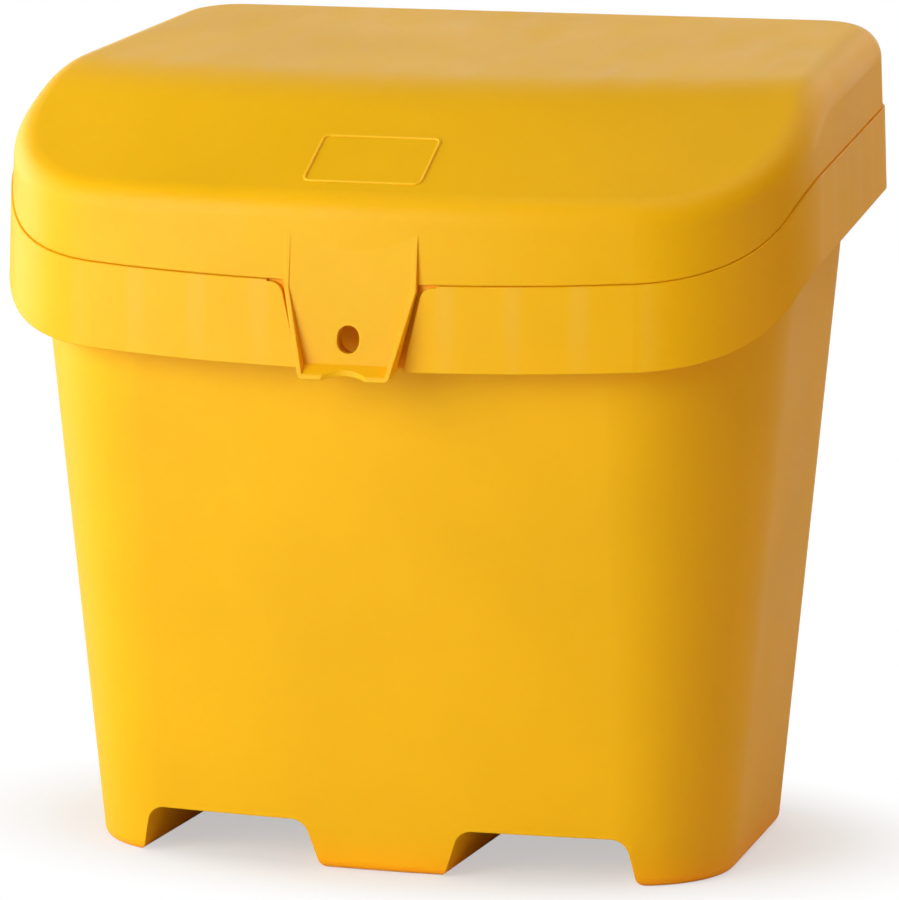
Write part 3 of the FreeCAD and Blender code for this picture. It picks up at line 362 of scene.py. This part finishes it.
def make_plate(material):
    """A raised rounded outline, laid on the slope, with nothing inside it."""
    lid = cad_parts["lid"].data
    tree = BVHTree.FromPolygons([v.co for v in lid.vertices], [p.vertices[:] for p in lid.polygons])
    mesh = bmesh.new()
    rings = []
    for centre_x, centre_y, angle in plate_outline():
        ring = []
        for across, height in LINE_SECTION:
            reach = PLATE_CORNER + across * LINE_WIDTH
            x = centre_x + reach * math.cos(angle)
            y = centre_y + reach * math.sin(angle)
            hit, normal, _, _ = tree.ray_cast(Vector((x, y, DROP_HEIGHT)), Vector((0, 0, -1)))
            ring.append(mesh.verts.new(hit + normal * height * LINE_HEIGHT))
        rings.append(ring)
    for ring, following in zip(rings, rings[1:] + rings[:1]):
        for index in range(len(LINE_SECTION) - 1):
            mesh.faces.new((ring[index], following[index], following[index + 1], ring[index + 1]))
    bmesh.ops.recalc_face_normals(mesh, faces=mesh.faces)
    for face in mesh.faces:
        face.smooth = True
    piece = mesh_object("plate_frame", mesh, material)
    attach(piece, "lid")


def make_floor():
    """A pale floor that keeps the bin's shadow close by and runs out into the white beyond it."""
    material, nodes, links = node_material("floor_white")
    output = add(nodes, "ShaderNodeOutputMaterial")
    matt = add(nodes, "ShaderNodeBsdfDiffuse")
    matt.inputs["Color"].default_value = (FLOOR_GREY, FLOOR_GREY, FLOOR_GREY, 1.0)
    white = add(nodes, "ShaderNodeEmission")
    path = add(nodes, "ShaderNodeLightPath")
    place = add(nodes, "ShaderNodeTexCoord").outputs["Object"]
    plan = vector_node(nodes, links, "DIVIDE", place, OVAL_HALVES).outputs[0]
    away = vector_node(nodes, links, "LENGTH", plan).outputs["Value"]
    fade = remap(nodes, links, away, *WHITE_FADE, WHITE_NEAR, 1.0, smooth=True)
    seen = math_node(nodes, links, "MULTIPLY", path.outputs["Is Camera Ray"], fade)
    mix = add(nodes, "ShaderNodeMixShader")
    links.new(seen, mix.inputs[0])
    links.new(matt.outputs[0], mix.inputs[1])
    links.new(white.outputs[0], mix.inputs[2])
    links.new(mix.outputs[0], output.inputs["Surface"])
    mesh = bmesh.new()
    bmesh.ops.create_circle(mesh, cap_ends=True, segments=FLOOR_SIDES, radius=FLOOR_RADIUS)
    mesh_object("floor", mesh, material)


def make_world():
    """White to the camera; for the bin a dim room, with a white backdrop behind and left to mirror."""
    world = bpy.data.worlds.new("studio")
    bpy.context.scene.world = world
    world.use_nodes = True
    nodes, links = world.node_tree.nodes, world.node_tree.links
    nodes.clear()
    output = add(nodes, "ShaderNodeOutputWorld")
    direction = add(nodes, "ShaderNodeSeparateXYZ")
    links.new(add(nodes, "ShaderNodeTexCoord").outputs["Generated"], direction.inputs[0])
    aside, behind, rise = direction.outputs
    path = add(nodes, "ShaderNodeLightPath")
    camera_ray = path.outputs["Is Camera Ray"]
    shiny = math_node(
        nodes, links, "MAXIMUM", path.outputs["Is Glossy Ray"], path.outputs["Is Transmission Ray"])
    low = remap(nodes, links, rise, *BACKDROP_TOP, 1.0, 0.0, smooth=True)
    rear = remap(nodes, links, behind, *BACKDROP_BEHIND, 0.0, BACKDROP_BEHIND_STRENGTH, smooth=True)
    left = remap(nodes, links, aside, *BACKDROP_LEFT, 0.0, BACKDROP_LEFT_STRENGTH, smooth=True)
    around = math_node(nodes, links, "MAXIMUM", rear, left)
    backdrop = math_node(nodes, links, "MULTIPLY", low, around)
    white = add(nodes, "ShaderNodeBackground")
    white.inputs["Color"].default_value = (*WHITE, 1.0)
    links.new(math_node(nodes, links, "MAXIMUM", backdrop, camera_ray), white.inputs["Strength"])
    room = add(nodes, "ShaderNodeBackground")
    room.inputs["Color"].default_value = (*ROOM_COLOUR, 1.0)
    room.inputs["Strength"].default_value = ROOM_STRENGTH
    mix = add(nodes, "ShaderNodeMixShader")
    links.new(math_node(nodes, links, "MAXIMUM", shiny, camera_ray), mix.inputs[0])
    links.new(room.outputs[0], mix.inputs[1])
    links.new(white.outputs[0], mix.inputs[2])
    links.new(mix.outputs[0], output.inputs["Surface"])


def outwards(azimuth, elevation):
    """A direction, from angles in radians: azimuth 0 is in front of the bin, and it grows towards +x."""
    flat = math.cos(elevation)
    return Vector((math.sin(azimuth) * flat, -math.cos(azimuth) * flat, math.sin(elevation)))


def make_lamp(name, azimuth, elevation, distance, size, power, colour):
    data = bpy.data.lights.new(name, "AREA")
    data.shape = "SQUARE"
    data.size = size
    data.energy = power
    data.color = colour
    lamp = new_object(name, data)
    away = outwards(math.radians(azimuth), math.radians(elevation))
    lamp.location = LAMP_AIM + distance * away
    lamp.rotation_euler = away.to_track_quat("Z", "Y").to_euler()


def make_camera():
    data = bpy.data.cameras.new("camera")
    data.sensor_fit = "HORIZONTAL"
    data.sensor_width = SENSOR_WIDTH
    data.lens = FOCAL_PX * SENSOR_WIDTH / PHOTO_WIDTH
    data.shift_x = (PHOTO_WIDTH / 2 - PRINCIPAL_PX[0]) / PHOTO_WIDTH
    data.shift_y = (PRINCIPAL_PX[1] - PHOTO_HEIGHT / 2) / PHOTO_WIDTH
    data.clip_end = CAMERA_REACH
    camera = new_object("camera", data)
    back = outwards(CAMERA_AZIMUTH, CAMERA_ELEVATION)
    camera.rotation_euler = back.to_track_quat("Z", "Y").to_euler()
    camera.rotation_euler.rotate_axis("Z", CAMERA_ROLL)
    camera.location = CAMERA_TARGET + back * CAMERA_DISTANCE
    bpy.context.scene.camera = camera


dress("tub", moulded_plastic("tub_yellow", YELLOW, MOULDED_ROUGHNESS, SOAK, ribbed=True))
dress("lid", moulded_plastic("lid_yellow", YELLOW, MOULDED_ROUGHNESS, SOAK))
dress("hinge_pins", moulded_plastic("black_nylon", BLACK, PIN_ROUGHNESS, 0.0))
# the plate's line in the paler yellow: a painted highlight
make_plate(moulded_plastic("line_painted_highlight", PAINTED_HIGHLIGHT_YELLOW, LINE_ROUGHNESS, SOAK))
make_floor()
make_world()
for lamp_values in LAMPS:
    make_lamp(*lamp_values)
make_camera()
bpy.context.scene.view_settings.view_transform = "Standard"
